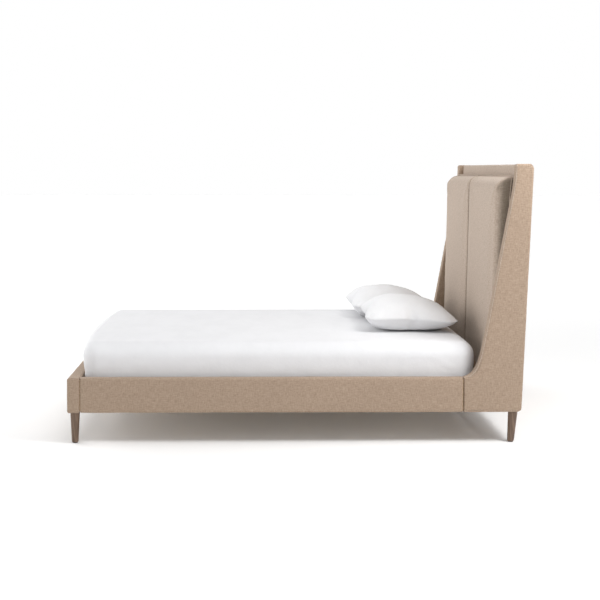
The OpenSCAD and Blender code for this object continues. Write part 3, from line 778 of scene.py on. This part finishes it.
def headboard():
    outline = rectangle((-IN_X, LEG_H), (IN_X, BED_H - HEAD_DROP), 90, 110)
    profile = slab_profile(HEAD_T, CLOTH_T * 0.6, EDGE_R, HEAD_BACK_R)
    points, faces = solid(outline, profile, leaning, (CROWN, 0))
    cover("headboard_upholstery", "headboard_cover", points, faces, STRIP_FABRIC)


def headboard_back():
    """Back cloth, drawn over the back of the frame, its turned edge sewn down all round."""
    side, foot, top = IN_X - CLOTH_MARGIN, LEG_H + CLOTH_MARGIN, BED_H - CLOTH_MARGIN
    outline = rectangle((-side, foot), (side, top), 110, 120, corner=0.006)
    profile = slab_profile(0.0002, CLOTH_T, 0.0012, 0.0006, steps=3, sides=1)
    points, faces = solid(outline, profile, leaning)
    made = piece("headboard_back_panel", points, faces, FABRIC)
    sag = lambda at: -0.0009 * (0.5 + 0.5 * ripple(at, (0.4, 1.0, 0.16))) * (normals_of(made)[:, 1] > 0.5)
    push(made, sag)
    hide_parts("headboard_back_cloth")
    edge = outline.moved_in(0.008)
    line = leaning(np.append(edge[:, 0], edge[0, 0]), np.append(edge[:, 1], edge[0, 1]), 0.0)
    points, faces = stitches(line, (0, 1, 0), length=0.006, gap=0.004, radius=0.0006)
    piece("headboard_back_stitching", points, faces, THREAD)


# ---------- simulation ----------

def apply_modifiers(obj):
    """Gives obj the mesh that its modifiers make, and takes them off."""
    graph = bpy.context.evaluated_depsgraph_get()
    made = bpy.data.meshes.new_from_object(obj.evaluated_get(graph))
    old = obj.data
    obj.modifiers.clear()
    obj.data = made
    if old.users == 0:
        bpy.data.meshes.remove(old)


def remeshed(obj, voxel):
    modifier = obj.modifiers.new("remesh", "REMESH")
    modifier.mode = "VOXEL"
    modifier.voxel_size = voxel
    modifier.use_smooth_shade = True
    apply_modifiers(obj)


def inflated(obj, pressure, cap, frames=20, held=None, stiffness=15.0):
    """Blows obj up as cloth under pressure, with held points pinned, no point moving further than cap."""
    before = points_of(obj)
    if held is not None:
        group = obj.vertex_groups.new(name="held")
        group.add([int(i) for i in np.nonzero(held(before))[0]], 1.0, "REPLACE")
    cloth = obj.modifiers.new("cloth", "CLOTH")
    settings = cloth.settings
    settings.quality = 5
    settings.mass = 0.3
    settings.tension_stiffness = settings.compression_stiffness = stiffness
    settings.shear_stiffness = 5.0
    settings.bending_stiffness = 0.5
    settings.use_pressure = True
    settings.uniform_pressure_force = pressure
    settings.effector_weights.gravity = 0.0
    if held is not None:
        settings.vertex_group_mass = "held"
    cloth.point_cache.frame_start = 1
    cloth.point_cache.frame_end = frames
    for step in range(1, frames + 1):
        bpy.context.scene.frame_set(step)
    apply_modifiers(obj)
    bpy.context.scene.frame_set(1)
    moved = points_of(obj) - before
    far = np.linalg.norm(moved, axis=1)
    moved *= np.minimum(1, cap / np.maximum(far, 1e-9))[:, None]
    set_points(obj, before + moved)


def smoothed(obj):
    modifier = obj.modifiers.new("smooth", "SUBSURF")
    modifier.levels = modifier.render_levels = 1
    apply_modifiers(obj)
    obj.data.polygons.foreach_set("use_smooth", [True] * len(obj.data.polygons))


# ---------- headboard cushions ----------

def cushion_place(low, high):
    """What places a cushion's points, thinner towards its lower end, and how far forward its front lies at
    its top."""
    tall = high.z - low.z
    slant = LEAN - CUSHION_TAPER / tall
    front = back_y(high.z) - (low.y + slant * tall)

    def place(p, q, d):
        thin = CUSHION_TAPER * (high.z - q) / tall
        share = (d - HEAD_T) / (front - HEAD_T)
        return leaning(p, q, d - thin * share)
    return place, front


def headboard_cushion(side):
    """Tall cushion, blown up as cloth, with a welt laid round its sides."""
    node = f"{side}_headboard_cushion"
    low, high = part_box(node)
    place, front = cushion_place(low, high)
    slack = CUSHION_SLACK
    middle = "front" if side == "right" else "back"
    outline = rectangle((low.x + slack, low.z + slack), (high.x - slack, high.z - slack), 96, 70,
                        corner=CUSHION_CORNER_R, tight=(middle,), tight_factor=CUSHION_SEAM_R / CUSHION_R)
    outline.tightness[outline.up:outline.up + outline.over + 1] *= CUSHION_TOP
    outline.ease(9)
    profile = slab_profile(front - slack, HEAD_T + 0.0004, CUSHION_R, CUSHION_REAR_R, steps=8, sides=5)
    points, faces = solid(outline, profile, place, (0.002, 0), 0.12, outline.tightness)
    made = piece(f"{side}_cushion", points, faces, CUSHION_FABRIC)
    remeshed(made, voxel=0.011)
    rear = lambda at: at[:, 1] > back_y(at[:, 2]) - HEAD_T - 0.022
    inflated(made, pressure=4.0, cap=0.005, held=rear)
    smoothed(made)
    push(made, lambda at: 0.0006 * ripple(at, (0.09, 0.09, 0.13), 1.7))
    points = points_of(made)
    rest = back_y(points[:, 2]) - HEAD_T - 0.0003
    points[:, 1] = np.minimum(points[:, 1], rest)
    points[:, 0] = np.clip(points[:, 0], low.x, high.x)
    set_points(made, points)
    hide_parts(node)
    loop = outline.moved_in(-0.0012)
    seam = place(loop[:, 0], loop[:, 1], front - 0.006 - CUSHION_R * outline.tightness)
    points, faces = tube(seam, WELT_R, closed=True)
    piece(f"{side}_cushion_welt", points, faces, STRIP_FABRIC)


# ---------- mattress and fitted sheet ----------

def bed_plane(p, q, d):
    """A point of the mattress or its sheet: above the rails, both ends bow out in the middle."""
    low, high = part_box("mattress")
    free = np.clip((d - RAIL_TOP) / BOW_RISE, 0, 1)
    free = free * free * (3 - 2 * free)
    across = np.abs(p / high.x)
    foot = np.clip((low.y + BOW_REACH - q) / BOW_REACH, 0, 1) ** 2
    head = np.clip((q - high.y + BOW_REACH) / BOW_REACH, 0, 1) ** 2
    bow = HEAD_BOW * (1 - across ** 8) * head - FOOT_BOW * (1 - across ** 2) * foot
    return np.stack([p, q + bow * free, d], 1)


def mattress_outline(low, high):
    margin = MATTRESS_MARGIN
    outline = rectangle((low.x + margin, low.y + margin), (high.x - margin, high.y - margin), 170, 130,
                        corner=MATTRESS_CORNER_R - margin, tight=("bottom",), tight_factor=MATTRESS_FOOT)
    outline.ease(5)
    return outline


def mattress():
    low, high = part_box("mattress")
    outline = mattress_outline(low, high)
    top, bottom = high.z - MATTRESS_MARGIN - MATTRESS_CROWN, low.z + 0.003
    profile = slab_profile(top, bottom, MATTRESS_EDGE_R, MATTRESS_UNDER_R, steps=8, sides=8)
    points, faces = solid(outline, profile, bed_plane, (MATTRESS_CROWN, 0.0), CROWN_REACH, power=2)
    made = piece("mattress_body", points, faces, TICKING, MATTRESS_BODY)
    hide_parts("mattress")
    line = outline.moved_in(-0.0002)
    welts = []
    for z in (top - MATTRESS_EDGE_R - 0.004, bottom + MATTRESS_UNDER_R + 0.004):
        welts.append(tube(np.column_stack([line, np.full(len(line), z)]), 0.0011, closed=True))
    points, faces = joined(welts)
    piece("mattress_piping", points, faces, TICKING, MATTRESS_BODY)
    return outline, top, bottom


def sheet_profile(gap, top, bottom):
    """One side of the sheet, that far from the mattress: over the top, down the sides and underneath."""
    over = rounded(top + gap, MATTRESS_EDGE_R, -1, 9)
    under = rounded(bottom - gap, MATTRESS_UNDER_R, 1, 6)[::-1]
    sides = np.linspace(over[-1][1], under[0][1], 22)[1:-1]
    line = over + [(0.0, float(z)) for z in sides] + under
    tuck = [(MATTRESS_UNDER_R + SHEET_TUCK * k / 4, bottom - gap) for k in range(1, 5)]
    return [(inset - gap, z) for inset, z in line + tuck]


def sheet_creases(points):
    """Faint pulls: diagonal at the corners, and shallow folds low on the sides and towards the head."""
    low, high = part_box("mattress")
    x, y, z = points.T
    side = np.minimum(np.minimum(x - low.x, high.x - x), np.minimum(y - low.y, high.y - y))
    on_side = np.exp(-np.maximum(side, 0) / 0.03)
    corner = np.exp(-(np.minimum(np.abs(y - low.y), np.abs(high.y - y)) / 0.28) ** 2)
    lift = (z - low.z) / (high.z - low.z)
    slant = np.where(y > 0, 1.0, -1.0) * (y * 17 + 0.8) + z * 26
    pulls = np.sin(slant * 2.2 + 2.0 * ripple(points, (0.3, 0.3, 0.3)))
    folds = ripple(points, (0.5, 0.09, 0.05), 5.3)
    broad = ripple(points, (0.35, 0.5, 0.2), 2.2)
    return (0.0024 * pulls * corner * on_side * (1.1 - lift) + 0.0018 * folds * on_side * (1.2 - lift)
            + 0.0012 * broad)


def sheet_shell(outline, outer, inner):
    """The sheet as a closed shell: an outer and an inner skin of the same grid, joined along the hem."""
    skins = []
    for profile in (outer, inner):
        loops = [outline.moved_in(inset) for inset, _ in profile]
        grid = outline.filled(loops[0])
        depths = profile[0][1] + MATTRESS_CROWN * swell(grid, CROWN_REACH, 2)
        points = [bed_plane(grid[..., 0].ravel(), grid[..., 1].ravel(), depths.ravel())]
        for loop, (_, depth) in zip(loops[1:], profile[1:]):
            points.append(bed_plane(loop[:, 0], loop[:, 1], np.full(len(loop), depth)))
        skins.append(np.concatenate(points))
    wide, size = outline.over + 1, len(outline.loop)
    rings = [outline.rim()]
    for k in range(len(outer) - 1):
        rings.append((outline.up + 1) * wide + k * size + np.arange(size))
    faces = grid_faces(outline.up, wide)
    for a, b in zip(rings[:-1], rings[1:]):
        faces += band_faces(a, b)
    return np.concatenate(skins), shell_faces(faces, rings[-1], len(skins[0]))


def fitted_sheet(outline, top, bottom):
    outer = sheet_profile(SHEET_GAP + SHEET_T, top, bottom)
    inner = sheet_profile(SHEET_GAP, top, bottom)
    points, faces = sheet_shell(outline, outer, inner)
    made = piece("fitted_sheet_cloth", points, faces, SHEET_COTTON, MATTRESS_BODY)
    points, normals = points_of(made), normals_of(made)
    half = len(points) // 2
    lift = np.maximum(sheet_creases(points[:half]), -0.0002)[:, None]
    points[:half] += normals[:half] * lift
    points[half:] -= normals[half:] * lift
    set_points(made, points)
    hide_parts("fitted_sheet")


# ---------- pillows ----------

def pillow_blank(size, columns, rows, corner=0.035):
    """Two panels of cloth sewn together round their edge, bowed out at the sides, a little apart within."""
    crowd = 0.75  # how far the grid's lines crowd towards the seam
    u, v = np.meshgrid(np.linspace(-1, 1, columns + 1), np.linspace(-1, 1, rows + 1))
    u, v = (np.sin(w * math.pi / 2 * crowd) / math.sin(math.pi / 2 * crowd) for w in (u, v))
    wide = columns + 1
    lift = 0.035 * (1 - u ** 4) * (1 - v ** 4)
    blunt = 1 - 2 * corner / (size[0] + size[1]) * (np.abs(u) * np.abs(v)) ** 8
    x = u * size[0] / 2 * (1 + 0.045 * (1 - v ** 2)) * blunt
    y = v * size[1] / 2 * (1 + 0.055 * (1 - u ** 2)) * blunt
    top = np.stack([x.ravel(), y.ravel(), lift.ravel()], 1)
    number = np.arange(wide * (rows + 1)).reshape(rows + 1, wide)
    inside = np.zeros_like(number, bool)
    inside[1:-1, 1:-1] = True
    below = number.copy()
    below[inside] = len(top) + np.arange(inside.sum())
    bottom = top[number[inside]] * (1, 1, -1)
    faces = []
    for i, j in np.ndindex(rows, columns):
        for grid in (number, below):
            faces.append((grid[i, j], grid[i, j + 1], grid[i + 1, j + 1], grid[i + 1, j]))
    seam = np.concatenate([number[0, :-1], number[:-1, -1], number[-1, :0:-1], number[:0:-1, 0]])
    across = np.stack([u.ravel(), v.ravel()], 1)
    across = np.concatenate([across, across[number[inside]]])
    return np.concatenate([top, bottom]), faces, seam, across


def pillow_creases(points):
    """Fine creases in a pillow's cover, as sharp lines between soft swells."""
    long = 1 - 2 * np.abs(ripple(points, (0.16, 0.05, 0.10), 7.7))
    short = 1 - 2 * np.abs(ripple(points, (0.05, 0.09, 0.06), 2.9))
    return 0.0014 * long + 0.0008 * short - 0.0022


def pillow_heights(points, across, low, high, seed, crown):
    """Heights of a pillow's points: a smooth lens with some of the blown-up cloth's folds, dented on top and
    flat where it lies on the bed. Its fullest part lies off the middle, by as much as crown says."""
    u, v = across.T
    size = np.array([high.x - low.x, high.y - low.y])
    seam_z = PILLOW_SEAM_Z - PILLOW_TIP_LIFT * v
    v = v + crown * (1 - v ** 2)
    lens = (1 - np.abs(u) ** 2.5) ** 0.7 * (1 - np.abs(v) ** 2.1) ** 0.75
    blown = points[:, 2] / np.abs(points[:, 2]).max()
    plump = np.where(blown > 0, 1, -1) * ((1 - PILLOW_FOLDS) * lens + PILLOW_FOLDS * np.abs(blown))
    dents = 1 + 0.08 * ripple(points, (0.2, 0.15, 0.4), seed)
    dents = dents + 0.02 * ripple(points, (0.07, 0.05, 0.2), seed + 2)
    beyond = np.clip(np.hypot(*(points[:, :2] / size * 2).T) - 1, 0, 1)
    seam_z = seam_z - 0.3 * PILLOW_SEAM_Z * beyond
    plump = np.where(plump > 0, plump * dents / (plump * dents).max(), plump)
    rise = high.z - low.z - PILLOW_SEAM_Z
    up = np.where(plump > 0, plump * rise, plump * (PILLOW_SEAM_Z + 0.05))
    bed = 0.002 - seam_z
    soft = 0.014  # over this height the underside turns up from the bed
    up = np.where(up < bed + soft, bed + soft * np.exp(np.maximum((up - bed - soft) / soft, -30)), up)
    return low.z + seam_z + up


def pillow(side, seed, turn, crown):
    """A filled pillow, blown up as cloth and turned a few degrees on the bed."""
    node = f"{side}_pillow"
    low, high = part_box(node)
    middle = (low + high) / 2 + Vector((0, PILLOW_SHIFT, 0))
    size = np.array([high.x - low.x, high.y - low.y])
    points, faces, seam, across = pillow_blank(size, 60, 50)
    made = piece(f"{side}_pillow_body", points, faces, PILLOW_COTTON, f"{side}_pillow_body")
    blank = points[:, :2] / np.ptp(points[:, :2], axis=0)
    inflated(made, pressure=9.0, cap=0.16, frames=24, stiffness=12.0)
    points = points_of(made)
    points[:, :2] = PILLOW_FOLDS * points[:, :2] / np.ptp(points[:, :2], axis=0) + (1 - PILLOW_FOLDS) * blank
    points[:, :2] *= size
    points[:, 2] = pillow_heights(points, across, low, high, seed, crown)
    flat = points[:, :2] * size / np.ptp(points[:, :2], axis=0)
    a = math.radians(turn)
    points[:, 0] = middle.x + flat[:, 0] * math.cos(a) - flat[:, 1] * math.sin(a)
    points[:, 1] = middle.y + flat[:, 0] * math.sin(a) + flat[:, 1] * math.cos(a)
    set_points(made, points)
    edge = points[seam]
    smoothed(made)
    push(made, pillow_creases)
    points = points_of(made)
    points[:, 2] = np.maximum(points[:, 2], low.z + 0.0004)
    set_points(made, points)
    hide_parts(node)
    points, faces = tube(edge, 0.0012, sides=6, closed=True)
    piece(f"{side}_pillow_seam", points, faces, PILLOW_COTTON, f"{side}_pillow_body")


# ---------- slat straps ----------

def slat_strap(side, sign):
    """Webbing strap under the slats, stapled to each slat and slack between them."""
    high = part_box("slat_straps")[1]
    slats = [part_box(slat) for slat in SLATS]
    centre = sign * (high.x - STRAP_WIDE / 2)
    ys, tops = [], []
    for k, (a, b) in enumerate(slats):
        ys += [a.y, (a.y + b.y) / 2, b.y]
        tops += [high.z] * 3
        if k < len(slats) - 1:
            gap = slats[k + 1][0].y - b.y
            for share in (0.2, 0.4, 0.6, 0.8):
                ys.append(b.y + gap * share)
                tops.append(high.z - 0.008 * share * (1 - share))
    across = centre + np.linspace(-STRAP_WIDE / 2, STRAP_WIDE / 2, 5)
    x, y = np.meshgrid(across, ys)
    z = np.repeat(np.array(tops)[:, None] - 0.0002, len(across), 1)
    skin = np.stack([x.ravel(), y.ravel(), z.ravel()], 1)
    points = np.concatenate([skin, skin - (0, 0, STRAP_T)])
    rows = len(ys) - 1
    faces = shell_faces(grid_faces(rows, len(across)), grid_rim(rows, len(across) - 1), len(skin))
    made = piece(f"{side}_slat_strap", points, faces, WEBBING)
    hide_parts("slat_straps")


# ---------- the bed ----------

for side in ("left", "right"):
    side_rail(side)
    wing(side)
    headboard_cushion(side)
footboard()
headboard()
headboard_back()
mattress_edge, mattress_top, mattress_bottom = mattress()
fitted_sheet(mattress_edge, mattress_top, mattress_bottom)
pillow("right", 0.0, -2.0, 0.22)
pillow("left", 4.0, 0.0, 0.34)
slat_strap("left", -1)
slat_strap("right", 1)


# ---------- floor, light and camera ----------

def floor():
    """Wide pale floor with painted light: it glows with light of its own, a little more with its distance
    from the bed, so that it reads white far off while the shadow under the bed stays dark.
    """
    mesh = bpy.data.meshes.new("floor")
    corners = [(x * FLOOR_HALF, y * FLOOR_HALF, 0) for x, y in ((-1, -1), (1, -1), (1, 1), (-1, 1))]
    mesh.from_pydata(corners, [], [(0, 1, 2, 3)])
    s = Shader("studio_floor", {"Roughness": 0.9, "Specular IOR Level": 0.1,
                                "Base Color": (0.95, 0.95, 0.95, 1), "Emission Color": (1, 1, 1, 1)})
    x, y, _ = s.place()
    far = s.math("POWER", s.add(s.times(x, x), s.times(y, y)), 0.5)
    # painted light: the floor's own glow, from FLOOR_GLOW's low value near the bed to its high value far off
    glow = s.node("ShaderNodeMapRange", enumerate((far, *GLOW_REACH, *FLOOR_GLOW)))
    s.put(s.surface.inputs["Emission Strength"], glow.outputs[0])
    mesh.materials.append(s.material)
    added("floor", mesh)


def soft_light(name, place, target, size, power):
    data = bpy.data.lights.new(name, "AREA")
    data.shape = "RECTANGLE"
    data.size, data.size_y = size
    data.energy = power
    made = added(name, data)
    made.location = place
    made.rotation_euler = (Vector(target) - Vector(place)).to_track_quat("-Z", "Y").to_euler()


def sky():
    """Studio walls: white round the horizon, dimmer overhead."""
    world = bpy.data.worlds.new("studio")
    bpy.context.scene.world = world
    world.use_nodes = True
    tree = world.node_tree
    coords = tree.nodes.new("ShaderNodeTexCoord")
    split = tree.nodes.new("ShaderNodeSeparateXYZ")
    fade = tree.nodes.new("ShaderNodeMapRange")
    fade.interpolation_type = "SMOOTHSTEP"
    for index, value in enumerate((*SKY_FADE, HORIZON, OVERHEAD), 1):
        fade.inputs[index].default_value = value
    tree.links.new(coords.outputs["Generated"], split.inputs[0])
    tree.links.new(split.outputs[2], fade.inputs[0])
    background = tree.nodes["Background"]
    background.inputs["Color"].default_value = (1, 1, 1, 1)
    tree.links.new(fade.outputs[0], background.inputs["Strength"])


def sun(towards, strength, spread):
    """Even light from far away, its source spread wide so that its shadows are soft."""
    data = bpy.data.lights.new("key", "SUN")
    data.energy = strength
    data.angle = math.radians(spread)
    added("key", data).rotation_euler = Vector(towards).to_track_quat("Z", "Y").to_euler()


def studio():
    sky()
    sun((0.18, 0.1, 0.95), KEY, 60)
    soft_light("head_side", (1.8, 2.1, 2.8), (0.8, 1.1, 1.3), (1.0, 1.0), HEAD_SIDE)
    soft_light("front", (-2.4, -4.8, 2.2), (0.0, 1.0, 0.9), (6.0, 3.0), FRONT)
    soft_light("side", (6.5, -1.5, 2.4), (0.8, 0.0, 0.3), (5.0, 3.0), SIDE)
    bpy.context.scene.view_settings.view_transform = "Standard"


def camera():
    """Camera at standing height, square to the bed's right side, a little below level."""
    data = bpy.data.cameras.new("camera")
    data.lens = 71.5
    data.sensor_width = 36.0
    data.shift_x = 0.05
    data.shift_y = -0.12
    data.clip_end = 200.0
    made = added("camera", data)
    made.location = CAMERA_AT
    turned, down, roll = (math.radians(a) for a in CAMERA_TURNS)
    forward = Vector((-math.cos(turned) * math.cos(down), -math.sin(turned) * math.cos(down), math.sin(down)))
    facing = forward.to_track_quat("-Z", "Y")
    made.rotation_mode = "QUATERNION"
    made.rotation_quaternion = facing @ Quaternion((0, 0, -1), roll)
    bpy.context.scene.camera = made


floor()
studio()
camera()
